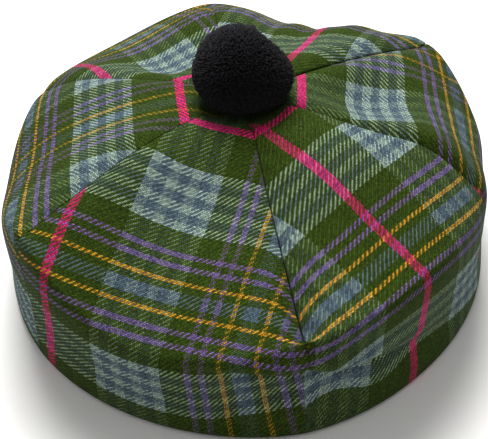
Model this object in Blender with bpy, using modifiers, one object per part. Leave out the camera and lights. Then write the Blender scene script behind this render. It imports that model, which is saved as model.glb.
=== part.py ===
"""A tam o'shanter: six cloth gores, a band inside the head opening and a yarn pompom.

Every gore runs from the point of the crown over a soft rim, down the side and under to
the head opening. The crown is lofted through twelve upright sections, one on each seam
and one half way across each gore, with a groove pressed in along each seam and a few
folds. The tables are in millimetres and degrees, the scene is in metres with +Z up, and
the front of the hat faces -Y.
"""
import math
import random

import bmesh
import bpy
import numpy as np
from mathutils import Euler, Vector

MM = 0.001

CLOTH = 2.0                # thickness of the wool cloth
GAP = 0.3                  # clearance between neighbouring pieces
SEAM_GAP = 0.6             # the same at the gores' outer faces, as the walls lean together
POINT_RADIUS = 3.0         # where the gores start, under the pompom
POINT_HEIGHT = 96.0        # height of the point of the crown, at the bottom of its dimple
DIMPLE_HEIGHT = 98.5       # height of the dimple half way out to the pink hexagon
OPENING_RADIUS = 95.0      # inner edge of the cloth on the underside

ACROSS = 12                # facets across a gore
ALONG = 3                  # facets between two stations of a section
CROWDING = 0.7             # how much the facets narrow towards the seams

BAND_HEIGHT = 30.0         # the band stands this far up inside the opening
BAND_FACETS = 60

POMPOM_RADIUS = 26.5
POMPOM_SQUASH = 0.88       # height over width
LOCK_LENGTH = 2.2          # how far a lock of yarn stands out from the ball
LOCK_SPREAD = 0.5          # share of that length that differs from lock to lock
SEED = 7

# Where the pompom bulges or is flattened, and by what share of its radius.
LUMPS = (
    # name,       azimuth, elevation, swell
    ("flattened", 36, 34, -0.19),
    ("bulging", -17, -18, 0.13),
    ("drawn_in", 163, 18, -0.06),
)
LUMP_SHARPNESS = 7         # power of the cosine with which a lump falls off

# One section, from the point to the opening: each station's radius as a share of the
# rim's, and the shares of the seam's groove and of its notch that it takes.
STATIONS = (
    # name,      radius share, groove share, notch share
    ("point", 0.0, 0.0, 0.0),
    ("dimple", 0.12, 0.0, 0.0),
    ("hexagon", 0.22, 0.25, 0.0),
    ("middle", 0.48, 1.0, 0.0),
    ("shoulder", 0.74, 1.0, 0.5),
    ("edge", 0.93, 0.6, 1.0),
    ("rim", 1.0, 0.2, 0.5),
    ("side", None, 0.0, 0.0),
    ("foot", None, 0.0, 0.0),
)

# The sections in order round the hat, as heights and radii in mm. A seam's groove is so
# deep, and so wide in the gore before the seam and in the one after it.
SEAM_COLUMNS = (
    "name", "angle", "groove", "width_before", "width_after", "notch",
    "rim_radius", "foot_radius",
    "rim_height", "hexagon_height", "middle_height", "shoulder_height",
)
SEAMS = (
    ("back_left", 153, 4, 15, 15, 1, 139, 139, 62, 104, 100, 90),
    ("left", 220, 4, 15, 15, 0, 142, 143, 82, 105, 106, 98),
    ("front", 281, 3, 15, 15, 7, 151, 150, 66, 103, 88, 78),
    ("right", 340, 12, 5, 13, 2, 137, 142, 63, 106, 101, 97),
    ("back_right", 395, 8, 15, 15, 0, 143, 139, 82, 104, 106, 99),
    ("back", 458, 3, 15, 15, 0, 146, 139, 77, 103, 89, 95),
)
GORE_COLUMNS = (
    "name", "rim_radius", "foot_radius",
    "rim_height", "hexagon_height", "middle_height", "shoulder_height",
)
GORES = (
    ("left", 134, 137, 52, 105, 99, 86),
    ("front_left", 149, 147, 53, 103, 84, 73),
    ("front_right", 142, 144, 73, 104, 103, 90),
    ("right", 140, 140, 62, 105, 91, 89),
    ("back_right", 145, 139, 60, 106, 95, 90),
    ("back_left", 145, 139, 62, 103, 88, 82),
)

CORNER = 0.7               # how pointed the seams make the outline of the hat
EDGE_LIFT = 0.45           # height of the edge, from the rim's (0) to the shoulder's (1)
SIDE_HEIGHT = 0.48         # height of the middle of the side over the rim's
SIDE_BULGE = -0.5          # how far the middle of the side stands out past rim and foot
FOOT_HEIGHT = 7.0          # where the side starts to turn under
FOOT_TURN = ((-2.5, 1.6), (-9.0, 0.0))     # radius from the foot's, height

# Folds and dents: where they are, their size in mm round the hat and along the section,
# how deep they are, or high if negative, and how much they fall for each mm round the hat.
FOLDS = (
    # azimuth, station, width, length, depth, slant
    (269, 7.2, 14, 22, 2.5, 0),
    (282, 6.6, 42, 4, 5.5, 0.3),
    (283, 6.38, 40, 6, -4.5, 0.3),
    (280, 6.85, 40, 13, 5.0, 0.25),
    (308, 7.2, 34, 9, 2.4, 0.2),
    (355, 5.8, 20, 30, 3.0, 0),
    (52, 4.3, 9, 30, -2.5, 0),
    (66, 4.3, 9, 30, 4.0, 0),
    (78, 4.3, 12, 34, 5.0, 0),
    (131, 3.2, 16, 34, 4.0, 0),
)


def material(name, colour, roughness):
    """A plain Principled material of one colour."""
    made = bpy.data.materials.new(name)
    made.use_nodes = True
    made.diffuse_color = (*colour, 1.0)
    shader = made.node_tree.nodes["Principled BSDF"]
    shader.inputs["Base Color"].default_value = (*colour, 1.0)
    shader.inputs["Roughness"].default_value = roughness
    shader.inputs["Metallic"].default_value = 0.0
    return made


def smooth_section(stations, steps):
    """A smooth curve through the stations on the first axis, with equal steps between.

    Each stretch is a cubic whose slope at a station is half the way from the station
    before it to the one after it.
    """
    first = 2 * stations[:1] - stations[1:2]
    last = 2 * stations[-1:] - stations[-2:-1]
    padded = np.concatenate([first, stations, last])
    place = np.linspace(0, len(stations) - 1, (len(stations) - 1) * steps + 1)
    index = np.minimum(place.astype(int), len(stations) - 2)
    t = (place - index)[:, None]
    before, start, end, after = (padded[index + k] for k in range(4))
    return 0.5 * (
        2 * start
        + (end - before) * t
        + (2 * before - 5 * start + 4 * end - after) * t**2
        + (3 * start - before - 3 * end + after) * t**3
    )


def seam_angles():
    """The seams' angles in radians, with the first one again after a full turn."""
    angles = [math.radians(row[SEAM_COLUMNS.index("angle")]) for row in SEAMS]
    return np.array(angles + [angles[0] + math.tau])


def round_the_hat(column, angle):
    """One column of the tables, carried smoothly round the twelve sections.

    Between two sections it is a cubic whose slope at each is that of the line from the
    section before it to the section after it. At a seam the cloth is drawn up, so there
    the slope leans, by the share CORNER, to that of the straight line across the half gore.
    """
    seams = seam_angles()
    knots = np.empty(2 * len(SEAMS))
    knots[0::2] = seams[:-1]
    knots[1::2] = (seams[:-1] + seams[1:]) / 2
    values = np.empty(2 * len(SEAMS))
    values[0::2] = [row[SEAM_COLUMNS.index(column)] for row in SEAMS]
    values[1::2] = [row[GORE_COLUMNS.index(column)] for row in GORES]
    knots = np.concatenate([knots[-2:] - math.tau, knots, knots[:3] + math.tau])
    values = np.concatenate([values[-2:], values, values[:3]])
    slopes = (values[2:] - values[:-2]) / (knots[2:] - knots[:-2])
    index = np.searchsorted(knots, angle, side="right") - 1
    width = knots[index + 1] - knots[index]
    straight = (values[index + 1] - values[index]) / width
    from_seam = index % 2 == 0
    leaving = slopes[index - 1]
    arriving = slopes[index]
    leaving = np.where(from_seam, leaving + CORNER * (straight - leaving), leaving)
    arriving = np.where(from_seam, arriving, arriving + CORNER * (straight - arriving))
    t = (angle - knots[index]) / width
    return (
        (2 * t**3 - 3 * t**2 + 1) * values[index]
        + (t**3 - 2 * t**2 + t) * width * leaving
        + (3 * t**2 - 2 * t**3) * values[index + 1]
        + (t**3 - t**2) * width * arriving
    )


def groove_depth(row, angle, radius, groove_share, notch_share):
    """How deep the grooves of a gore's two seams are at this place, in mm.

    A seam's groove runs all along it and its notch is cut in at the rim. Both fall off
    with the square of the distance from the seam, over the width in the table.
    """
    seams = seam_angles()
    near = (
        (row, "width_after", radius * (angle - seams[row])),
        ((row + 1) % len(SEAMS), "width_before", radius * (seams[row + 1] - angle)),
    )
    depth = 0
    for seam, width, distance in near:
        values = dict(zip(SEAM_COLUMNS, SEAMS[seam]))
        deepest = groove_share * values["groove"] + notch_share * values["notch"]
        depth = depth + deepest * np.clip(1 - distance / values[width], 0, 1) ** 2
    return depth


def gore_outline(row, angle):
    """The stations of a gore at these angles: two arrays, of radii and heights in mm."""
    rim = round_the_hat("rim_radius", angle)
    foot = round_the_hat("foot_radius", angle)
    rim_height = round_the_hat("rim_height", angle)
    shoulder = round_the_hat("shoulder_height", angle)
    hexagon = round_the_hat("hexagon_height", angle)
    radius = {name: rim * share for name, share, _, _ in STATIONS if share is not None}
    radius["side"] = (rim + foot) / 2 + SIDE_BULGE
    radius["foot"] = foot
    height = {
        "point": 0 * angle + POINT_HEIGHT,
        "dimple": 0 * angle + DIMPLE_HEIGHT,
        "hexagon": hexagon,
        "middle": round_the_hat("middle_height", angle),
        "shoulder": shoulder,
        "edge": rim_height + EDGE_LIFT * (shoulder - rim_height),
        "rim": rim_height,
        "side": rim_height * SIDE_HEIGHT,
        "foot": 0 * angle + FOOT_HEIGHT,
    }
    for name, _, groove_share, notch_share in STATIONS:
        depth = groove_depth(row, angle, radius[name], groove_share, notch_share)
        if name in ("rim", "side"):
            radius[name] = radius[name] - depth
        else:
            height[name] = height[name] - depth
    radii = [radius[name] for name, _, _, _ in STATIONS]
    heights = [height[name] for name, _, _, _ in STATIONS]
    for inset, level in FOOT_TURN:
        radii.append(foot + inset)
        heights.append(0 * angle + level)
    return np.stack(radii), np.stack(heights)


def press_folds(radius, height, angle):
    """Press the folds in, square to the sections at these angles.

    A fold is a soft oval dent, and may run on over a seam.
    """
    steps = np.arange(len(radius)) / ALONG
    run = np.gradient(radius, axis=0)
    rise = np.gradient(height, axis=0)
    length = np.hypot(run, rise)
    for azimuth, station, width, reach, depth, slant in FOLDS:
        part, at = math.modf(station * ALONG)
        at = int(at)
        turn = (angle - math.radians(azimuth) + math.pi) % math.tau - math.pi
        sideways = turn * radius[at]
        along = np.cumsum(length, axis=0)
        along = along - along[at] - part * length[at + 1] - slant * sideways
        dent = depth * np.exp(-((along / reach) ** 2) - (sideways / width) ** 2)
        dent = dent * (steps < len(STATIONS) - 1)[:, None]
        radius = radius + dent * rise / length
        height = height - dent * run / length
    return radius, height


def gore_surface(row):
    """The outer face of a gore as a grid of points, from the point to the opening."""
    even = np.linspace(-1, 1, ACROSS + 1)
    share = even + CROWDING * (np.sin(even * math.pi / 2) - even)
    seams = seam_angles()
    angle = seams[row] * (1 - share) / 2 + seams[row + 1] * (1 + share) / 2
    angle = np.minimum(angle, seams[row + 1] - 1e-9)
    radii, heights = gore_outline(row, angle)
    radius = smooth_section(radii, ALONG)
    height = smooth_section(heights, ALONG)
    radius, height = press_folds(radius, height, angle)
    height = np.maximum(height, 0.0)
    height[-1] = 0.0
    radius[0] = POINT_RADIUS
    hem = np.full((1, ACROSS + 1), OPENING_RADIUS)
    radius = np.concatenate([radius, hem])
    height = np.concatenate([height, 0 * hem])
    # The gore is narrowed so that its edges stand off from the seams by half their gap.
    half = (seams[row + 1] - seams[row]) / 2
    stand_off = np.arcsin(SEAM_GAP / 2 / radius)
    angle = seams[row] + half + share * (half - stand_off)
    return np.stack([radius * np.cos(angle), radius * np.sin(angle), height], axis=-1)


def add_gore(row, surface, centre, collection, cloth):
    """One gore: its outer face, with the cloth's thickness inside it."""
    rows, columns = surface.shape[:2]
    number = np.arange(rows * columns).reshape(rows, columns)
    faces = np.stack(
        [number[:-1, :-1], number[1:, :-1], number[1:, 1:], number[:-1, 1:]], axis=-1
    )
    mesh = bpy.data.meshes.new("crown_gore_" + GORES[row][0])
    points = (surface - centre).reshape(-1, 3) * MM
    mesh.from_pydata(points.tolist(), [], faces.reshape(-1, 4).tolist())
    mesh.shade_smooth()
    mesh.materials.append(cloth)
    gore = bpy.data.objects.new(mesh.name, mesh)
    collection.objects.link(gore)
    wall = gore.modifiers.new("Cloth", "SOLIDIFY")
    wall.thickness = CLOTH * MM
    wall.offset = -1
    return gore


def add_headband(centre, collection, cloth):
    """The band: a flat strip standing on the hem, turned round the head opening."""
    inner = OPENING_RADIUS * MM
    outer = (OPENING_RADIUS + CLOTH) * MM
    bottom = (CLOTH + GAP) * MM
    top = BAND_HEIGHT * MM
    profile = [(outer, 0, top), (outer, 0, bottom), (inner, 0, bottom), (inner, 0, top)]
    mesh = bpy.data.meshes.new("headband")
    mesh.from_pydata(profile, [(0, 1), (1, 2), (2, 3), (3, 0)], [])
    mesh.materials.append(cloth)
    band = bpy.data.objects.new("headband", mesh)
    collection.objects.link(band)
    band.location = (-centre[0] * MM, -centre[1] * MM, 0)
    turn = band.modifiers.new("Turn", "SCREW")
    turn.steps = BAND_FACETS
    turn.render_steps = BAND_FACETS
    turn.use_merge_vertices = True
    turn.merge_threshold = 0.00001
    return band


def pompom_swell(out):
    """How far the pompom reaches in the direction out, as a share of its radius."""
    reach = 1.0
    for _, azimuth, elevation, swell in LUMPS:
        level = math.radians(elevation)
        ahead = Vector((math.cos(level), 0, math.sin(level)))
        ahead.rotate(Euler((0, 0, math.radians(azimuth))))
        reach += swell * max(0.0, out.dot(ahead)) ** LUMP_SHARPNESS
    return reach


def add_pompom(centre, collection, yarn):
    """The pompom: a lumpy ball with a lock of yarn drawn out of the middle of each facet."""
    draw = random.Random(SEED)
    ball = bmesh.new()
    bmesh.ops.create_icosphere(ball, subdivisions=3, radius=(POMPOM_RADIUS - LOCK_LENGTH) * MM)
    tips = bmesh.ops.poke(ball, faces=ball.faces)["verts"]
    for tip in tips:
        length = LOCK_LENGTH * (1 + LOCK_SPREAD * draw.uniform(-1, 1))
        tip.co += tip.co.normalized() * length * MM
    for corner in ball.verts:
        corner.co *= pompom_swell(corner.co.normalized())
        corner.co.z *= POMPOM_SQUASH
    mesh = bpy.data.meshes.new("pompom")
    ball.to_mesh(mesh)
    ball.free()
    mesh.materials.append(yarn)
    pompom = bpy.data.objects.new("pompom", mesh)
    collection.objects.link(pompom)
    pompom.location = (-centre[0] * MM, -centre[1] * MM, pompom_height() * MM)
    return pompom


def pompom_height():
    """Height of the pompom's middle when it rests on the point of the crown."""
    return POINT_HEIGHT + GAP + (POMPOM_RADIUS + LOCK_LENGTH * LOCK_SPREAD) * POMPOM_SQUASH


def build():
    """Clear the scene and build the hat over the middle of its own outline."""
    for item in list(bpy.data.objects):
        bpy.data.objects.remove(item, do_unlink=True)
    collection = bpy.data.collections.new("tam_o_shanter")
    bpy.context.scene.collection.children.link(collection)
    cloth = material("tartan_wool", (0.10, 0.14, 0.04), 0.9)
    yarn = material("pompom_yarn", (0.01, 0.01, 0.015), 0.95)
    surfaces = [gore_surface(row) for row in range(len(GORES))]
    corners = np.concatenate([surface.reshape(-1, 3) for surface in surfaces])
    centre = (corners.min(axis=0) + corners.max(axis=0)) / 2
    centre[2] = 0.0
    for row, surface in enumerate(surfaces):
        add_gore(row, surface, centre, collection, cloth)
    add_headband(centre, collection, cloth)
    add_pompom(centre, collection, yarn)


build()
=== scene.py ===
"""A tam o'shanter of six tartan gores with a yarn pompom, dressed for the studio.

The sections follow the hat as it is sewn: the camera that looks at it, the gores of the
crown, the band in the head opening, the pompom, and then the floor and the lights. Sizes
are in millimetres and angles in degrees unless a comment says otherwise; the scene is in
metres, +Z is up and the front of the hat faces -Y.
"""
import math

import bmesh
import bpy
import numpy as np
from mathutils import Matrix, Vector


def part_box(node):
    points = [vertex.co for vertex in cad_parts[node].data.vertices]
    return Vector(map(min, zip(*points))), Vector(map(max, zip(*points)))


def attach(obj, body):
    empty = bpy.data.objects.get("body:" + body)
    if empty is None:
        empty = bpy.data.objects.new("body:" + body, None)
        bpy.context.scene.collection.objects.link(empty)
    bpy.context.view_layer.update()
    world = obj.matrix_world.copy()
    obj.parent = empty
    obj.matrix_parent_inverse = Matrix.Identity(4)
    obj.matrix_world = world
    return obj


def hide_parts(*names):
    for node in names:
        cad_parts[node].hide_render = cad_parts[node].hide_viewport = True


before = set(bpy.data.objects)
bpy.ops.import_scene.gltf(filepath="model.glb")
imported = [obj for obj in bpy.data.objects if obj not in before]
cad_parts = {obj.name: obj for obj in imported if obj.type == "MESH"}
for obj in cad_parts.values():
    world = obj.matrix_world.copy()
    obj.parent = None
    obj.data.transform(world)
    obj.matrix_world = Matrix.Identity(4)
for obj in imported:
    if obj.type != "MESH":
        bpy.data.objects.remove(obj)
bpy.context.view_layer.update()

MM = 0.001

# The camera. It stands in front of the hat and looks down on it from close by, a little
# out of level, with a long lens, so that the far rim is drawn clearly smaller.
AIM = Vector((-1.1, -25.4, 40.0)) * MM
ELEVATION = math.radians(41.7)
DISTANCE = 521.1 * MM
ROLL = math.radians(-1.04)
LENS = 68.5
FILM_WIDTH = 36.0

lens = bpy.data.cameras.new("camera")
lens.lens = LENS
lens.sensor_fit = "HORIZONTAL"
lens.sensor_width = FILM_WIDTH
camera = bpy.data.objects.new("camera", lens)
bpy.context.scene.collection.objects.link(camera)
away = Vector((0, -math.cos(ELEVATION), math.sin(ELEVATION)))
tilt = Matrix.Rotation(math.pi / 2 - ELEVATION, 4, "X") @ Matrix.Rotation(ROLL, 4, "Z")
camera.matrix_world = Matrix.Translation(AIM + DISTANCE * away) @ tilt
bpy.context.scene.camera = camera


# The crown gores. Six wedges of woollen twill in one tartan, each cut by itself, so that
# the checks don't meet at the seams. They are sewn edge to edge from the point over the
# soft rim, down the side and under to the head opening, and the seams draw in.
CLOTH = 2.0                # thickness of the wool cloth
GAP = 0.04                 # what the two edges of a seam stand apart
ALLOWANCE = 5.0            # the cloth past the stitches, turned in
INNER_TRIM = 1.0           # how much further in its inner face ends
POINT_GATHER = 0.5         # how near to the hat's axis the allowances come
POINT_RADIUS = 3.0         # where the gores start, under the pompom
POINT_HEIGHT = 96.0
DIMPLE_HEIGHT = 98.5
OPENING_RADIUS = 95.0      # inner edge of the cloth on the underside
ROLL_RADIUS = 0.4          # the cloth's edge rolls into the seam with this radius
DEEP_ROLLS = {"front": 0.7, "right": 2.4, "back_right": 1.6}   # and with these into some
SIDE_ROLL = 0.1            # share of that roll on the side, where the seams are pressed
CORNER = 0.7               # how pointed the seams make the hat's outline
EDGE_LIFT = 0.45           # where the edge lies, from the rim's height to the shoulder's
SIDE_HEIGHT = 0.48         # height of the middle of the side, as a share of the rim's
SIDE_BULGE = -0.5          # how far it stands out from the line from rim to foot
FOOT_HEIGHT = 7.0
FOOT_TURN = ((-2.5, 1.6), (-9.0, 0.0))   # points past the foot: how far out, how high
ACROSS = 88                # faces across a gore
ALONG = 14                 # faces from one station to the next
HEM_ROWS = 12              # faces across the flat hem
CROWDING = 0.85            # how closely the faces crowd towards the seams

STATIONS = (
    # name,      radius share, groove share, notch share
    ("point", 0.0, 0.0, 0.0),
    ("dimple", 0.12, 0.0, 0.0),
    ("hexagon", 0.22, 0.25, 0.0),
    ("middle", 0.48, 1.0, 0.0),
    ("shoulder", 0.74, 1.0, 0.5),
    ("edge", 0.93, 0.6, 1.0),
    ("rim", 1.0, 0.2, 0.5),
    ("side", None, 0.0, 0.0),
    ("foot", None, 0.0, 0.0),
)
STATION_NAMES = [name for name, _, _, _ in STATIONS]
SEAM_COLUMNS = (
    "name", "angle", "groove", "width_before", "width_after", "notch",
    "rim_radius", "foot_radius",
    "rim_height", "hexagon_height", "middle_height", "shoulder_height",
)
SEAMS = (
    ("back_left", 153, 4, 15, 15, 1, 139, 139, 62, 104, 100, 90),
    ("left", 220, 4, 15, 15, 0, 142, 143, 82, 105, 106, 98),
    ("front", 281, 3, 15, 15, 7, 151, 150, 66, 103, 88, 78),
    ("right", 340, 12, 5, 13, 2, 137, 142, 63, 106, 101, 97),
    ("back_right", 395, 8, 15, 15, 0, 143, 139, 82, 104, 106, 99),
    ("back", 458, 3, 15, 15, 0, 146, 139, 77, 103, 89, 95),
)
GORE_COLUMNS = (
    "name", "rim_radius", "foot_radius",
    "rim_height", "hexagon_height", "middle_height", "shoulder_height",
)
GORES = (
    ("left", 134, 137, 52, 105, 99, 86),
    ("front_left", 149, 147, 53, 103, 84, 73),
    ("front_right", 142, 144, 73, 104, 103, 90),
    ("right", 140, 140, 62, 105, 91, 89),
    ("back_right", 145, 139, 60, 106, 95, 90),
    ("back_left", 145, 139, 62, 103, 88, 82),
)
# Folds and dents: where they are, their size in mm round the hat and along the section,
# how deep they are, or high if negative, and how much they fall for each mm round the hat.
FOLDS = (
    # azimuth, station, width, length, depth, slant
    (269, 7.2, 14, 22, 2.5, 0),
    (282, 6.6, 42, 4, 5.5, 0.3),
    (283, 6.38, 40, 6, -4.5, 0.3),
    (280, 6.85, 40, 13, 5.0, 0.25),
    (308, 7.2, 34, 9, 2.4, 0.2),
    (355, 5.8, 20, 30, 3.0, 0),
    (52, 4.3, 9, 30, -2.5, 0),
    (66, 4.3, 9, 30, 4.0, 0),
    (78, 4.3, 12, 34, 5.0, 0),
    (131, 3.2, 16, 34, 4.0, 0),
)

# How the cloth lies on each gore: where the pink stripe that runs down the gore lies from
# its middle line, how far from the point the pink stripe across it lies, both in mm, and
# how far the cloth is turned about the point.
CLOTH_LAY = {
    "left": (-95.4, 37.3, 0.0),
    "front_left": (-53.0, 34.9, -0.5),
    "front_right": (-11.3, 34.0, -1.3),
    "right": (-38.3, 38.5, 8.2),
    "back_right": (-10.8, 34.0, 0.0),
    "back_left": (48.0, 39.0, 6.0),
}
# Slack of the cloth on the side round the front seam, which its folds take up: how much
# cloth is taken in below some height, or let out if negative, in a bell round an azimuth.
SLACK = (
    # azimuth, half width, both in degrees, then below the rim, run and cloth, in mm
    (290, 13, 13, 5, 8),
    (279, 6, 30, 5, 2),
    (296, 8, 36, 12, -11),
    (284, 8, 66, 4, -5),
)
SPREAD = 1.39              # how fast the crown's curve turns the threads apart
SIDE_GATHER = 0.14         # how much closer together the threads get
GATHER_RUN = 70.0          # on this length down the side
PITCH = 0.71               # one thread to the next


def smooth_section(stations, steps):
    """A smooth curve through the stations on the first axis, with equal steps between.

    Each stretch is a cubic whose slope at a station is half the way from the station
    before it to the one after it.
    """
    first = 2 * stations[:1] - stations[1:2]
    last = 2 * stations[-1:] - stations[-2:-1]
    padded = np.concatenate([first, stations, last])
    place = np.linspace(0, len(stations) - 1, (len(stations) - 1) * steps + 1)
    index = np.minimum(place.astype(int), len(stations) - 2)
    t = (place - index)[:, None]
    before, start, end, after = (padded[index + k] for k in range(4))
    return 0.5 * (
        2 * start
        + (end - before) * t
        + (2 * before - 5 * start + 4 * end - after) * t**2
        + (3 * start - before - 3 * end + after) * t**3
    )


def from_azimuth(angle, azimuth):
    """An angle measured from an azimuth, both in radians: within half a turn of zero."""
    return (angle - azimuth + math.pi) % math.tau - math.pi


def seam_angles():
    """The seams' angles in radians, with the first one again after a full turn."""
    angles = [math.radians(row[SEAM_COLUMNS.index("angle")]) for row in SEAMS]
    return np.array(angles + [angles[0] + math.tau])


def round_the_hat(column, angle):
    """One column of the tables, carried smoothly round the twelve sections.

    Between two sections it is a cubic whose slope at each is that of the line from the
    section before it to the section after it. At a seam the cloth is drawn up, so there
    the slope leans, by the share CORNER, to that of the straight line across the half gore.
    """
    seams = seam_angles()
    knots = np.empty(2 * len(SEAMS))
    knots[0::2] = seams[:-1]
    knots[1::2] = (seams[:-1] + seams[1:]) / 2
    values = np.empty(2 * len(SEAMS))
    values[0::2] = [row[SEAM_COLUMNS.index(column)] for row in SEAMS]
    values[1::2] = [row[GORE_COLUMNS.index(column)] for row in GORES]
    knots = np.concatenate([knots[-2:] - math.tau, knots, knots[:3] + math.tau])
    values = np.concatenate([values[-2:], values, values[:3]])
    slopes = (values[2:] - values[:-2]) / (knots[2:] - knots[:-2])
    index = np.searchsorted(knots, angle, side="right") - 1
    width = knots[index + 1] - knots[index]
    straight = (values[index + 1] - values[index]) / width
    from_seam = index % 2 == 0
    leaving = slopes[index - 1]
    arriving = slopes[index]
    leaving = np.where(from_seam, leaving + CORNER * (straight - leaving), leaving)
    arriving = np.where(from_seam, arriving, arriving + CORNER * (straight - arriving))
    t = (angle - knots[index]) / width
    return (
        (2 * t**3 - 3 * t**2 + 1) * values[index]
        + (t**3 - 2 * t**2 + t) * width * leaving
        + (3 * t**2 - 2 * t**3) * values[index + 1]
        + (t**3 - t**2) * width * arriving
    )


def groove_depth(row, angle, radius, groove_share, notch_share):
    """How deep the grooves of a gore's two seams are at this place, in mm.

    A seam's groove runs all along it and its notch is cut in at the rim. Both fall off
    with the square of the distance from the seam, over the width in the table.
    """
    seams = seam_angles()
    near = (
        (row, "width_after", radius * (angle - seams[row])),
        ((row + 1) % len(SEAMS), "width_before", radius * (seams[row + 1] - angle)),
    )
    depth = 0
    for seam, width, distance in near:
        values = dict(zip(SEAM_COLUMNS, SEAMS[seam]))
        deepest = groove_share * values["groove"] + notch_share * values["notch"]
        depth = depth + deepest * np.clip(1 - distance / values[width], 0, 1) ** 2
    return depth


def gore_outline(row, angle, drawn_in=1.0):
    """The stations of a gore at these angles: two arrays, of radii and heights in mm.

    The share drawn_in of the depth of the seams' grooves is taken.
    """
    rim = round_the_hat("rim_radius", angle)
    foot = round_the_hat("foot_radius", angle)
    rim_height = round_the_hat("rim_height", angle)
    shoulder = round_the_hat("shoulder_height", angle)
    hexagon = round_the_hat("hexagon_height", angle)
    radius = {name: rim * share for name, share, _, _ in STATIONS if share is not None}
    radius["side"] = (rim + foot) / 2 + SIDE_BULGE
    radius["foot"] = foot
    height = {
        "point": 0 * angle + POINT_HEIGHT,
        "dimple": 0 * angle + DIMPLE_HEIGHT,
        "hexagon": hexagon,
        "middle": round_the_hat("middle_height", angle),
        "shoulder": shoulder,
        "edge": rim_height + EDGE_LIFT * (shoulder - rim_height),
        "rim": rim_height,
        "side": rim_height * SIDE_HEIGHT,
        "foot": 0 * angle + FOOT_HEIGHT,
    }
    for name, _, groove_share, notch_share in STATIONS:
        depth = groove_depth(row, angle, radius[name], groove_share, notch_share) * drawn_in
        if name in ("rim", "side"):
            radius[name] = radius[name] - depth
        else:
            height[name] = height[name] - depth
    radii = [radius[name] for name in STATION_NAMES]
    heights = [height[name] for name in STATION_NAMES]
    for inset, level in FOOT_TURN:
        radii.append(foot + inset)
        heights.append(0 * angle + level)
    return np.stack(radii), np.stack(heights)


def press_folds(radius, height, angle):
    """Press the folds in, square to the sections at these angles.

    A fold is a soft oval dent, and may run on over a seam: its depth falls off as a bell,
    both along the section and sideways.
    """
    steps = np.arange(len(radius)) / ALONG
    run = np.gradient(radius, axis=0)
    rise = np.gradient(height, axis=0)
    length = np.hypot(run, rise)
    for azimuth, station, width, reach, depth, slant in FOLDS:
        part, at = math.modf(station * ALONG)
        at = int(at)
        sideways = from_azimuth(angle, math.radians(azimuth)) * radius[at]
        along = np.cumsum(length, axis=0)
        along = along - along[at] - part * length[at + 1] - slant * sideways
        dent = depth * np.exp(-((along / reach) ** 2) - (sideways / width) ** 2)
        dent = dent * (steps < len(STATIONS) - 1)[:, None]
        radius = radius + dent * rise / length
        height = height - dent * run / length
    return radius, height


def gore_surface(row):
    """The outer face of a gore as a grid of points in mm, and its threads as a grid.

    The first axis runs from the point to the opening and the second across the gore. The
    cloth lies flat over the crown as a cone does: a place at the length a along its own
    section, grooves left out, and the angle p from the middle has turned p times the
    SPREAD power of radius over a, and is a sin and a cos of that turn from the gore's
    middle and point. On the side the threads go straight down, a little closer together,
    and each row of the SLACK adds its cloth, in a bell sideways and a soft step downwards.
    """
    name = GORES[row][0]
    warp_at, weft_at, cloth_turn = CLOTH_LAY[name]
    even = np.linspace(-1, 1, ACROSS + 1)
    share = even + CROWDING * (np.sin(even * math.pi / 2) - even)
    seams = seam_angles()
    half = (seams[row + 1] - seams[row]) / 2
    angle = seams[row] * (1 - share) / 2 + seams[row + 1] * (1 + share) / 2
    angle = np.minimum(angle, seams[row + 1] - 1e-9)   # still in this gore's own stretch

    radius, height = (smooth_section(side, ALONG) for side in gore_outline(row, angle, 0.0))
    steps = np.hypot(np.diff(radius, axis=0), np.diff(height, axis=0))
    arc = np.concatenate([0 * radius[:1], np.cumsum(steps, axis=0)]) + POINT_RADIUS
    turn = share * half * (radius / arc) ** SPREAD + math.radians(cloth_turn)
    down = arc * np.cos(turn)
    sideways = arc * np.sin(turn)

    radius, height = (smooth_section(side, ALONG) for side in gore_outline(row, angle))
    radius[0] = POINT_RADIUS
    radius, height = press_folds(radius, height, angle)
    height = np.maximum(height, 0.0)
    height[-1] = 0.0
    rim = STATION_NAMES.index("rim") * ALONG
    steps = np.hypot(np.diff(radius, axis=0), np.diff(height, axis=0))
    below = np.cumsum(steps[rim:], axis=0)
    sideways[rim + 1:] = sideways[rim] * (1 - SIDE_GATHER * below / GATHER_RUN)
    down[rim + 1:] = down[rim] + below
    for azimuth, half_width, below_rim, run, cloth in SLACK:
        off = from_azimuth(angle, math.radians(azimuth))
        taken = np.exp(-(off / math.radians(half_width)) ** 2)
        down[rim + 1:] += cloth * taken * (1 + np.tanh((below - below_rim) / run)) / 2
    hem = np.linspace(0, 1, HEM_ROWS + 1)[1:, None]
    down = np.concatenate([down, down[-1:] + hem * (radius[-1] - OPENING_RADIUS)])
    sideways = np.concatenate([sideways, sideways[-1:] + 0 * hem])
    radius = np.concatenate([radius, radius[-1] + hem * (OPENING_RADIUS - radius[-1])])
    height = np.concatenate([height, 0 * hem + 0 * share])
    stand_off = np.arcsin(GAP / 2 / radius)
    angle = seams[row] + half + share * (half - stand_off)
    points = np.stack([radius * np.cos(angle), radius * np.sin(angle), height], axis=-1)

    threads = np.stack([sideways - warp_at, down - weft_at], axis=-1) / PITCH
    return points, threads


def grid_normals(points):
    """Unit normals of a grid of points: the cross product of its two slopes."""
    normals = np.cross(np.gradient(points, axis=0), np.gradient(points, axis=1))
    return normals / np.linalg.norm(normals, axis=-1, keepdims=True)


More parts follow.
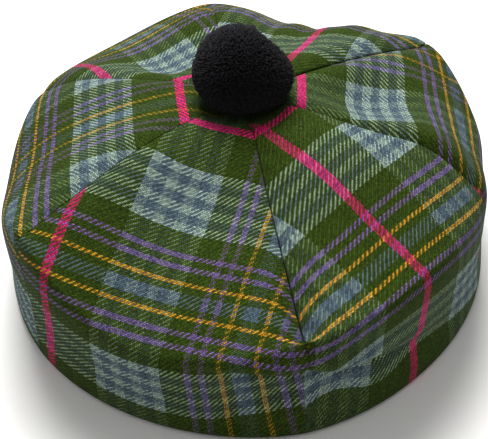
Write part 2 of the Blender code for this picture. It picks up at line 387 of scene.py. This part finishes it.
def roll_seams(points, row):
    """Roll the cloth's edges in: square to the surface, as a quarter of a circle.

    Nearer to the seam than the roll's radius, the cloth sinks by the radius less the height
    of the circle there.
    """
    seams = seam_angles()
    radius = np.hypot(points[..., 0], points[..., 1])
    angle = np.arctan2(points[..., 1], points[..., 0])
    off = from_azimuth(angle, (seams[row] + seams[row + 1]) / 2)
    rolls = [DEEP_ROLLS.get(SEAMS[at % len(SEAMS)][0], ROLL_RADIUS) for at in (row, row + 1)]
    roll = np.where(off < 0, *rolls)
    distance = ((seams[row + 1] - seams[row]) / 2 - np.abs(off)) * radius
    inside = np.clip(1 - distance / roll, 0, 1)
    sunk = roll * (1 - np.sqrt(1 - inside**2))
    sunk[-HEM_ROWS:] = 0
    sunk[STATION_NAMES.index("rim") * ALONG:] *= SIDE_ROLL
    return points - grid_normals(points) * sunk[..., None]


def inner_face(points, row):
    """The inner face: the outer one moved in by the cloth's thickness, kept off the seams."""
    inner = points - grid_normals(points) * CLOTH
    inner[..., 2] = np.maximum(inner[..., 2], CLOTH)
    seams = seam_angles()
    middle = (seams[row] + seams[row + 1]) / 2
    radius = np.hypot(inner[..., 0], inner[..., 1])
    angle = from_azimuth(np.arctan2(inner[..., 1], inner[..., 0]), middle)
    most = (seams[row + 1] - seams[row]) / 2 - GAP / 2 / radius
    angle = np.clip(angle, -most, most) + middle
    return np.stack([radius * np.cos(angle), radius * np.sin(angle), inner[..., 2]], axis=-1)


def turn_in(face, points, row, depth):
    """The face with its two edges turned in along the seams, as seam allowances.

    Each edge gets a column of points in the plane of its seam, at this depth square to the
    seam's own line. On the hem, which is flat, they are trimmed to end inside the cloth.
    """
    radius = np.hypot(points[:, [0, -1], 0], points[:, [0, -1], 1])
    height = points[:, [0, -1], 2]
    run, rise = np.gradient(radius, axis=0), np.gradient(height, axis=0)
    length = np.hypot(run, rise)
    depth = np.full((len(points), 1), depth)
    depth[-HEM_ROWS:] *= CLOTH / 2 / ALLOWANCE
    radius = np.maximum(radius + depth * rise / length, POINT_GATHER)
    height = height - depth * run / length
    seams = np.array(seam_angles()[row:row + 2])
    edge = np.stack([radius * np.cos(seams), radius * np.sin(seams), height], axis=-1)
    return np.concatenate([edge[:, :1], face, edge[:, 1:]], axis=1)


def mesh_of(name, points, *face_sets):
    """A smooth mesh of points in metres and arrays of faces, which have a row for each face."""
    corners = np.concatenate([faces.ravel() for faces in face_sets])
    sizes = np.concatenate([np.full(len(faces), faces.shape[1]) for faces in face_sets])
    mesh = bpy.data.meshes.new(name)
    mesh.vertices.add(len(points))
    mesh.vertices.foreach_set("co", points.astype(np.float32).ravel())
    mesh.loops.add(len(corners))
    mesh.loops.foreach_set("vertex_index", corners.astype(np.int32))
    mesh.polygons.add(len(sizes))
    mesh.polygons.foreach_set("loop_start", (np.cumsum(sizes) - sizes).astype(np.int32))
    mesh.update(calc_edges=True)
    mesh.validate()
    mesh.shade_smooth()
    return mesh


def map_threads(mesh, threads):
    """Give each corner of the mesh's faces its place in the cloth, counted in threads."""
    layer = mesh.uv_layers.new(name="threads")
    layer.uv.foreach_set("vector", threads.astype(np.float32).ravel())


def grid_faces(rows, columns):
    """The four corners of each face of a grid of points.

    They face out where the rows run outwards and the columns anticlockwise.
    """
    number = np.arange(rows * columns).reshape(rows, columns)
    corners = (number[:-1, :-1], number[1:, :-1], number[1:, 1:], number[:-1, 1:])
    return np.stack(corners, axis=-1).reshape(-1, 4)


def cloth_mesh(name, outer, inner, threads):
    """A closed wall between two grids of points: both faces and the border between them."""
    rows, columns = outer.shape[:2]
    number = np.arange(rows * columns).reshape(rows, columns)
    border = np.concatenate([
        number[:, 0], number[-1, 1:], number[-2::-1, -1], number[0, -2::-1],
    ])
    start, end = border[:-1], border[1:]
    front = grid_faces(rows, columns)
    back = front[:, ::-1] + number.size
    sides = np.stack([end, start, start + number.size, end + number.size], axis=-1)
    faces = np.concatenate([front, back, sides])
    mesh = mesh_of(name, np.concatenate([outer.reshape(-1, 3), inner.reshape(-1, 3)]), faces)
    map_threads(mesh, np.tile(threads.reshape(-1, 2), (2, 1))[faces.ravel()])
    return mesh


def piece(name, mesh, material):
    """A finished piece at the origin, with its place in its mesh."""
    made = bpy.data.objects.new(name, mesh)
    bpy.context.scene.collection.objects.link(made)
    mesh.materials.append(material)
    return made


def linear(colour):
    """An sRGB hex colour as linear red, green and blue with alpha 1.

    A channel under 0.04045 is divided by 12.92, and above it is raised to 2.4.
    """
    shares = [int(colour[at:at + 2], 16) / 255 for at in (1, 3, 5)]
    low = [share / 12.92 for share in shares]
    high = [((share + 0.055) / 1.055) ** 2.4 for share in shares]
    return [a if s < 0.04045 else b for s, a, b in zip(shares, low, high)] + [1.0]


def add(tree, kind, inputs=None, **settings):
    """A node with its settings. Each input takes a value, a socket or a node's first output."""
    made = tree.nodes.new("ShaderNode" + kind)
    for name, value in settings.items():
        setattr(made, name, value)
    for name, value in (inputs or {}).items():
        if isinstance(value, bpy.types.Node):
            value = value.outputs[0]
        if isinstance(value, bpy.types.NodeSocket):
            tree.links.new(value, made.inputs[name])
        else:
            made.inputs[name].default_value = value
    return made


# Tartan: brushed woollen yarn, dyed before weaving, in a two over two twill. The order of
# colours runs from the pink stripe to the slate one and back, the same both ways, so that
# a stripe is solid only where it crosses its own colour and is hatched elsewhere.
YARNS = {
    # dye, and how full the yarn is: a fuller one shows more of itself between the others
    "pink": ("#b8225a", 0.52),
    "green": ("#2c3c0d", 0.26),
    "pale": ("#77887f", 0.04),
    "slate": ("#44535d", 0.08),
    "purple": ("#5c4a73", 0.3),
    "gold": ("#a0741f", 0.3),
}
SETT = (
    ("pink", 3.5), ("green", 34),
    ("pale", 7), ("slate", 7), ("pale", 7), ("slate", 7), ("pale", 7), ("slate", 7), ("pale", 7),
    ("green", 16), ("purple", 4), ("green", 5), ("purple", 4), ("green", 8),
    ("gold", 3), ("green", 5), ("slate", 5),
)
HALF_SETT = sum(threads for _, threads in SETT)
YARN_ROUND = 3.0           # how much lower a yarn is at its edges than along its middle
WEFT_PROUD = 0.36          # the weft is beaten in thick, and stands over the warp
FULLNESS = 4.0             # what the fullest yarn gains in height over the thinnest
FILTERING = 5.0            # two dyes mix as filters: the darker one counts for more
BRUSHED = 2.1              # over this height the brushed fibres of two yarns mingle
# How the threads wander: waves to a thread, and how far as a share of the pitch.
DRIFT = (0.06, 0.5)        # over many threads
QUIVER = (0.45, 0.35)      # from float to float
GRAIN = 0.45               # how much lighter or darker one float is than the next
FIBRE_SCALE = 1.1          # waves to a thread, of the lighter and darker wool in a yarn
FIBRE_STEP = 7.3           # how far one yarn's wool is from the next one's, so none repeats
STANDS_CLEAR = 2.2         # how far one yarn is over the other where it lies in full light
# How light the cloth is painted, from its darkest to its lightest, as shares of the dye: along a
# yarn for its wool's own tones, and as painted shade and highlight in the weave's crevices and
# over each yarn's rounding.
FIBRE_TONES = (0.62, 1.35)     # along a yarn, for its wool
PAINTED_CREVICE_SHADE_TONES = (0.2, 1.35)    # from where a yarn dips under to where it stands clear
PAINTED_FLANK_SHADE_TONES = (0.15, 1.35)     # from a yarn's edge to its middle
FLOAT_HEIGHT = 0.12        # mm, of the relief of the weave


def tartan(name):
    """The tartan as a material on the piece's own thread map.

    A thread's number is its rounded place, and its colour is read from the sett, folded
    back and forth. The warp and the weft rise and fall as cosines, four threads a turn
    and half a turn apart, and round off towards their edges. The one that is higher, with
    what its fullness adds, shows, and where they are nearly level the two dyes mix.
    Its colour is painted darker where the yarns dip under each other and towards each yarn's
    edges, and painted lighter where a yarn stands clear and along its middle: painted shade and
    highlight, with a random grain from float to float. Rough fibres scatter the light, so the
    cloth is matt, with a faint sheen at its edges.
    """
    made = bpy.data.materials.new(name)
    made.use_nodes = True
    tree = made.node_tree
    tree.nodes.clear()
    place = add(tree, "UVMap", uv_map="threads")
    drift = place
    for scale, reach in (DRIFT, QUIVER):
        noise = add(tree, "TexNoise", {"Vector": place, "Scale": scale, "Detail": 2.0})
        noise = add(
            tree, "VectorMath",
            {0: noise.outputs["Color"], 1: (0.5, 0.5, 0.5)}, operation="SUBTRACT",
        )
        drift = add(
            tree, "VectorMath",
            {0: noise, 1: (2 * reach, 2 * reach, 0), 2: drift}, operation="MULTIPLY_ADD",
        )
    across = add(tree, "SeparateXYZ", {0: drift})
    sides = {"warp": across.outputs[0], "weft": across.outputs[1]}
    number = {side: add(tree, "Math", {0: at}, operation="ROUND") for side, at in sides.items()}
    rise = {}
    fall = {}
    colour = {}
    full = {}
    for side, other, sign in (("warp", "weft", 1.0), ("weft", "warp", -1.0)):
        off = add(tree, "Math", {0: sides[side], 1: number[side]}, operation="SUBTRACT")
        off = add(tree, "Math", {0: off, 1: off}, operation="MULTIPLY")
        fall[side] = add(tree, "Math", {0: off, 1: -YARN_ROUND}, operation="MULTIPLY")
        phase = add(tree, "Math", {0: number[side], 1: sides[other]}, operation="ADD")
        phase = add(tree, "Math", {0: phase, 1: 0.5}, operation="SUBTRACT")
        phase = add(tree, "Math", {0: phase, 1: math.pi / 2}, operation="MULTIPLY")
        wave = add(tree, "Math", {0: phase}, operation="COSINE")
        rise[side] = add(tree, "Math", {0: wave, 1: sign, 2: fall[side]}, operation="MULTIPLY_ADD")
        folded = add(tree, "Math", {0: number[side], 1: HALF_SETT}, operation="PINGPONG")
        folded = add(tree, "Math", {0: folded, 1: HALF_SETT}, operation="DIVIDE")
        ramp = add(tree, "ValToRGB", {"Fac": folded})
        ramp.color_ramp.interpolation = "CONSTANT"
        reached = 0.0
        for at, (yarn, threads) in enumerate(SETT):
            stops = ramp.color_ramp.elements
            stop = stops[0] if at == 0 else stops.new(reached / HALF_SETT)
            dye, fullness = YARNS[yarn]
            stop.color = linear(dye)[:3] + [fullness]
            reached += threads
        stops.remove(stops[-1])
        full[side] = ramp.outputs["Alpha"]
        yarn_place = add(tree, "Math", {0: number[side], 1: FIBRE_STEP}, operation="MULTIPLY")
        fibre = add(tree, "CombineXYZ", {0: yarn_place, 1: sides[other]})
        fibre = add(tree, "TexNoise", {"Vector": fibre, "Scale": FIBRE_SCALE, "Detail": 3.0})
        fibre = add(
            tree, "MapRange",
            {
                "Value": fibre, "From Min": 0.25, "From Max": 0.75,
                "To Min": FIBRE_TONES[0], "To Max": FIBRE_TONES[1],
            },
        )
        colour[side] = add(
            tree, "VectorMath", {0: ramp, "Scale": fibre.outputs[0]}, operation="SCALE"
        )
        colour[side] = add(tree, "Gamma", {"Color": colour[side], "Gamma": 1 / FILTERING})
    weft = add(tree, "Math", {0: rise["weft"], 1: WEFT_PROUD}, operation="ADD")
    relief = add(tree, "Math", {0: rise["warp"], 1: weft}, operation="MAXIMUM")
    over = add(tree, "Math", {0: rise["warp"], 1: weft}, operation="SUBTRACT")
    fuller = add(tree, "Math", {0: full["warp"], 1: full["weft"]}, operation="SUBTRACT")
    on_top = add(tree, "Math", {0: fuller, 1: FULLNESS, 2: over}, operation="MULTIPLY_ADD")
    on_top = add(tree, "MapRange", {"Value": on_top, "From Min": -BRUSHED, "From Max": BRUSHED})
    apart = add(tree, "Math", {0: over}, operation="ABSOLUTE")
    # Painted shade in the crevices: the colour is darker where warp and weft are nearly level and
    # one dips under the other, and painted lighter where one stands clear.
    painted_crevice_shade = add(
        tree, "MapRange",
        {
            "Value": apart, "From Min": 0.0, "From Max": STANDS_CLEAR,
            "To Min": PAINTED_CREVICE_SHADE_TONES[0], "To Max": PAINTED_CREVICE_SHADE_TONES[1],
        },
    )
    # Painted shade and highlight on each yarn: darker towards its edges, lighter along its middle.
    painted_flank_shade = add(tree, "Mix", {"Factor": on_top, 2: fall["weft"], 3: fall["warp"]})
    painted_flank_shade = add(
        tree, "MapRange",
        {
            "Value": painted_flank_shade, "From Min": -YARN_ROUND / 4, "From Max": 0.0,
            "To Min": PAINTED_FLANK_SHADE_TONES[0], "To Max": PAINTED_FLANK_SHADE_TONES[1],
        },
    )
    crossing = add(tree, "CombineXYZ", {0: number["warp"], 1: number["weft"]})
    grain = add(tree, "TexWhiteNoise", {"Vector": crossing}, noise_dimensions="2D")
    grain = add(tree, "MapRange", {"Value": grain, "To Min": 1 - GRAIN, "To Max": 1 + GRAIN})
    cloth = add(
        tree, "Mix", {"Factor": on_top, 6: colour["weft"], 7: colour["warp"]}, data_type="RGBA"
    )
    cloth = add(tree, "Gamma", {"Color": cloth.outputs[2], "Gamma": FILTERING})
    # The colour is scaled by the painted crevice and flank shade and highlight, and by the random
    # grain of the floats.
    depth = add(tree, "Math", {0: painted_crevice_shade, 1: painted_flank_shade}, operation="MULTIPLY")
    depth = add(tree, "Math", {0: depth, 1: grain}, operation="MULTIPLY")
    cloth = add(tree, "VectorMath", {0: cloth, "Scale": depth.outputs[0]}, operation="SCALE")
    bump = add(tree, "Bump", {"Height": relief, "Distance": FLOAT_HEIGHT * MM, "Strength": 0.5})
    shader = add(
        tree, "BsdfPrincipled",
        {
            "Base Color": cloth, "Roughness": 0.9, "Specular IOR Level": 0.05,
            "Sheen Weight": 0.02, "Sheen Roughness": 0.5, "Normal": bump,
        },
    )
    add(tree, "OutputMaterial", {"Surface": shader})
    return made


band_low, band_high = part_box("headband")
axis = (band_low + band_high) / 2
on_axis = np.array([axis.x, axis.y, 0.0])
turned_in = np.array([ALLOWANCE / PITCH, 0.0])
wool = tartan("brushed_wool_twill_tartan")
for row, (gore_name, *_) in enumerate(GORES):
    points, threads = gore_surface(row)
    outer = turn_in(roll_seams(points, row), points, row, ALLOWANCE)
    inner = turn_in(inner_face(points, row), points, row, ALLOWANCE + INNER_TRIM)
    edges = threads[:, :1] - turned_in, threads[:, -1:] + turned_in
    threads = np.concatenate([edges[0], threads, edges[1]], axis=1)
    name = "gore_" + gore_name
    wall = cloth_mesh(name, outer * MM + on_axis, inner * MM + on_axis, threads)
    gore = piece(name, wall, wool)
    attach(gore, "root")
    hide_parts("crown_" + name)


# The headband. A strip of the same cloth, folded over at its top and stitched round the
# head opening inside the hat.
BAND_TOP = 30.0
BAND_ROWS = 12             # points up each side of the strip
BAND_STEPS = 240           # faces round it
LIP_STEPS = 8              # faces over its folded top


def band_profile(foot):
    """The strip's section as radii and heights in mm, with its first point again at its end.

    It runs from the outer foot under to the inner one, up, over the fold and down outside.
    The fold is half a circle as wide as the cloth is thick.
    """
    lip = np.linspace(0, math.pi, LIP_STEPS + 1)[1:-1]
    rise = np.linspace(foot, BAND_TOP - CLOTH / 2, BAND_ROWS)
    radius = np.concatenate([
        [OPENING_RADIUS + CLOTH] * BAND_ROWS,
        OPENING_RADIUS + CLOTH / 2 + CLOTH / 2 * np.cos(lip),
        [OPENING_RADIUS] * BAND_ROWS,
    ])
    height = np.concatenate([rise, BAND_TOP - CLOTH / 2 + CLOTH / 2 * np.sin(lip), rise[::-1]])
    return np.append(radius, radius[0])[::-1], np.append(height, height[0])[::-1]


def ring_of_cloth(name, radius, height):
    """A closed section, whose last point is its first, carried round the hat's axis.

    The faces are those of an open grid. Where it meets itself, round the hat and round the
    section, they take the points that are there already, and only the threads start anew.
    """
    rows, columns = len(radius) - 1, BAND_STEPS
    turn = np.linspace(0, math.tau, columns + 1)
    points = np.stack(
        np.broadcast_arrays(
            radius[:-1, None] * np.cos(turn[:-1]) * MM + axis.x,
            radius[:-1, None] * np.sin(turn[:-1]) * MM + axis.y,
            height[:-1, None] * MM,
        ),
        axis=-1,
    )
    run = np.append(0.0, np.cumsum(np.hypot(np.diff(radius), np.diff(height))))
    threads = np.stack(
        np.broadcast_arrays(turn * OPENING_RADIUS / PITCH, run[:, None] / PITCH), axis=-1
    )
    faces = grid_faces(rows + 1, columns + 1)
    row, column = np.divmod(faces, columns + 1)
    mesh = mesh_of(name, points.reshape(-1, 3), row % rows * columns + column % columns)
    map_threads(mesh, threads.reshape(-1, 2)[faces.ravel()])
    return mesh


band_mesh = ring_of_cloth("headband_strip", *band_profile(band_low.z / MM))
band = piece("headband_strip", band_mesh, wool)
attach(band, "root")
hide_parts("headband")


# The pompom. Black woollen yarn, wound, tied at its middle and cut, so that a ball of cut
# ends stands on the point of the crown.
BALL = 26.0
BALL_HEIGHT = 120.6        # the middle of the ball over the floor
SQUASH = 0.88              # its height as a share of its width
# Where the ball bulges or is flattened, and by what share of its radius.
LUMPS = (
    # name,       azimuth, elevation, swell
    ("flattened", 36, 34, -0.19),
    ("bulging", -17, -18, 0.13),
    ("drawn_in", 163, 18, -0.06),
)
LUMP_SHARPNESS = 7         # power of the cosine with which a lump falls off
# Uneven trimming: in each row two waves, along two of the axes, are multiplied.
TRIM_WAVES = (
    # axis, waves, phase, and the same for the second wave
    (0, 3.1, 1.0, 1, 4.3, 2.0),
    (2, 5.2, 0.5, 0, 3.7, 4.0),
)
TRIM_REACH = 0.012         # how far they reach, as a share of the radius
TUFT = (65, 46)            # azimuth and elevation of a few longer ends
TUFT_LENGTH = 3.0
TUFT_SHARPNESS = 250       # power of the cosine with which the tuft falls off
CORE_SHARE = 0.86          # radius of the wound core, as a share of the ball's
CORE_SUBDIVISIONS = 3      # Blender's count, which gives it 320 triangles
ROOT_SHARE = 0.78          # where the strands start, inside the core
STRANDS = 14000
STRAND_WIDTH = 0.5         # from a strand's middle to its corners
STRAND_RINGS = np.array([0.0, 0.55, 1.0])    # where its rings lie along its length
STRAND_TAPER = np.array([1.0, 1.0, 0.7])     # and how wide they are
STRAND_CORNERS = 3
# How far strands differ from each other.
LEAN = 0.012               # in direction, as a share of the radius
END_LENGTHS = 0.35         # in length, mm
END_BEND = 1.1             # in how far the end is bent aside, mm
WIDTHS = (0.7, 1.3)        # in width
SEED = 5


def direction(azimuth, elevation):
    """A unit vector from its angles in degrees."""
    turn, level = math.radians(azimuth), math.radians(elevation)
    flat = math.cos(level)
    return np.array([flat * math.cos(turn), flat * math.sin(turn), math.sin(level)])


def pompom_swell(out):
    """How far the ball reaches in the directions out, as shares of its radius."""
    reach = np.ones(len(out))
    for _, azimuth, elevation, swell in LUMPS:
        ahead = direction(azimuth, elevation)
        reach += swell * np.clip(out @ ahead, 0, 1) ** LUMP_SHARPNESS
    return reach


def wound_core():
    """The wound core's points in mm, and its three-sided faces.

    It is a ball of even triangles, and each point is moved out to its share of the ball's
    swollen radius.
    """
    even_ball = bmesh.new()
    bmesh.ops.create_icosphere(even_ball, subdivisions=CORE_SUBDIVISIONS, radius=1.0)
    wound = bpy.data.meshes.new("wound_yarn")
    even_ball.to_mesh(wound)
    even_ball.free()
    out = np.empty(3 * len(wound.vertices), dtype=np.float32)
    faces = np.empty(len(wound.loops), dtype=np.int32)
    wound.vertices.foreach_get("co", out)
    wound.loops.foreach_get("vertex_index", faces)
    bpy.data.meshes.remove(wound)
    out = out.reshape(-1, 3)
    return out * (CORE_SHARE * BALL * pompom_swell(out))[:, None], faces.reshape(-1, 3)


def pompom_strands(count, centre):
    """Strands of cut yarn and their core as one mesh: the strands bent and tapered.

    The strands' directions follow a spiral over the ball with equal areas between its
    turns, each moved a little at random. A strand starts inside the wound core, and its
    three-sided rings are moved aside by the square of their share of its length.
    """
    draw = np.random.default_rng(SEED)
    number = np.arange(count) + 0.5
    level = 1 - 2 * number / count
    around = number * math.pi * (3 - math.sqrt(5))
    flat = np.sqrt(1 - level**2)
    out = np.stack([flat * np.cos(around), flat * np.sin(around), level], axis=-1)
    out += draw.normal(0, LEAN, out.shape)
    out /= np.linalg.norm(out, axis=-1, keepdims=True)
    side = np.cross(out, draw.normal(0, 1, out.shape))
    side /= np.linalg.norm(side, axis=-1, keepdims=True)
    third = np.cross(out, side)
    lump = sum(
        np.sin(waves * out[:, axis_1] + phase) * np.sin(more_waves * out[:, axis_2] + other_phase)
        for axis_1, waves, phase, axis_2, more_waves, other_phase in TRIM_WAVES
    )
    reach = BALL * (1 + TRIM_REACH * lump) + draw.normal(0, END_LENGTHS, count)
    reach += TUFT_LENGTH * np.clip(out @ direction(*TUFT), 0, 1) ** TUFT_SHARPNESS
    bend = draw.normal(0, END_BEND, count)
    width = STRAND_WIDTH * draw.uniform(*WIDTHS, count)
    root = ROOT_SHARE * BALL
    spine = (
        out[:, None] * (root + (reach - root)[:, None] * STRAND_RINGS)[..., None]
        + side[:, None] * (bend[:, None] * STRAND_RINGS**2)[..., None]
    )
    spine *= pompom_swell(out)[:, None, None]
    turn = np.arange(STRAND_CORNERS)[:, None] * math.tau / STRAND_CORNERS
    ring = side[:, None, None] * np.cos(turn) + third[:, None, None] * np.sin(turn)
    corners = spine[:, :, None] + ring * (width[:, None] * STRAND_TAPER)[..., None, None]
    core, core_faces = wound_core()
    points = np.concatenate([corners.reshape(-1, 3), core])
    points[:, 2] *= SQUASH

    to_a_strand = STRAND_CORNERS * len(STRAND_RINGS)
    first = (np.arange(count) * to_a_strand)[:, None, None]
    here = np.arange(STRAND_CORNERS)
    beside = (here + 1) % STRAND_CORNERS
    wall = np.stack([here, beside, beside + STRAND_CORNERS, here + STRAND_CORNERS], axis=-1)
    walls = np.concatenate([wall, wall + STRAND_CORNERS])
    ends = np.stack([here[::-1], here + to_a_strand - STRAND_CORNERS])
    ends = (first + ends).reshape(-1, STRAND_CORNERS)
    mesh = mesh_of(
        "pompom_strands", points * MM + np.array(centre),
        (first + walls).reshape(-1, 4), np.concatenate([ends, core_faces + count * to_a_strand]),
    )
    tone = np.append(np.repeat(draw.uniform(0, 1, count), to_a_strand), np.zeros(len(core)))
    mesh.attributes.new("tone", "FLOAT", "POINT").data.foreach_set(
        "value", tone.astype(np.float32)
    )
    return mesh


def yarn_material(name):
    """Black woollen yarn, dyed and cut: matt with a weak sheen, and not all of one black.

    A strand's shade lies between the two blacks by its tone. The core has the darker one.
    """
    made = bpy.data.materials.new(name)
    made.use_nodes = True
    tree = made.node_tree
    tree.nodes.clear()
    tone = add(tree, "Attribute", attribute_name="tone")
    shade = add(
        tree, "Mix",
        {"Factor": tone.outputs["Fac"], 6: linear("#08080c"), 7: linear("#101016")},
        data_type="RGBA",
    )
    shader = add(
        tree, "BsdfPrincipled",
        {
            "Base Color": shade.outputs[2], "Roughness": 0.95, "Specular IOR Level": 0.15,
            "Sheen Weight": 0.06, "Sheen Roughness": 0.6,
        },
    )
    add(tree, "OutputMaterial", {"Surface": shader})
    return made


middle = (axis.x, axis.y, BALL_HEIGHT * MM)
yarn = yarn_material("black_wool_yarn")
pompom = piece("pompom_yarn_ball", pompom_strands(STRANDS, middle), yarn)
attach(pompom, "root")
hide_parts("pompom")


# The studio. A plain floor in matt white paint, which gives no gloss, and soft light from
# above and a little behind, as in a catalogue picture. Places and sizes are in metres.
FLOOR_SIZE = 8.0
SINK = 0.0004              # the floor lies this far under the hat, so that they don't mix
DAYLIGHT = 0.35            # strength of the even white light from all round
LAMPS = (
    # name,      place,              size, power in W
    ("top",        (-0.1, 0.6, 1.2),   0.6,  29.0),
    ("front_top",  (-0.1, -0.6, 1.1),  0.35, 1.2),
    ("front_left", (-0.9, -0.9, 0.9),  0.9,  0.6),
    ("right",      (1.0, -0.3, 0.8),   0.8,  0.5),
)

floor_mesh = bpy.data.meshes.new("floor")
half = FLOOR_SIZE / 2
floor_mesh.from_pydata(
    [(-half, -half, -SINK), (half, -half, -SINK), (half, half, -SINK), (-half, half, -SINK)],
    [], [(0, 1, 2, 3)],
)
paint = bpy.data.materials.new("matt_white_paint")
paint.use_nodes = True
coat = paint.node_tree.nodes["Principled BSDF"]
coat.inputs["Base Color"].default_value = linear("#efeeec")
coat.inputs["Roughness"].default_value = 0.9
floor = piece("floor", floor_mesh, paint)

world = bpy.data.worlds.new("studio")
world.use_nodes = True
background = world.node_tree.nodes["Background"]
background.inputs["Color"].default_value = (1.0, 1.0, 1.0, 1.0)
background.inputs["Strength"].default_value = DAYLIGHT
bpy.context.scene.world = world
for name, place, size, power in LAMPS:
    lamp = bpy.data.lights.new(name, "AREA")
    lamp.size = size
    lamp.energy = power
    holder = bpy.data.objects.new(name, lamp)
    bpy.context.scene.collection.objects.link(holder)
    holder.location = place
    holder.rotation_euler = (AIM - holder.location).to_track_quat("-Z", "Y").to_euler()
bpy.context.scene.view_settings.view_transform = "Standard"
bpy.context.scene.view_settings.look = "None"
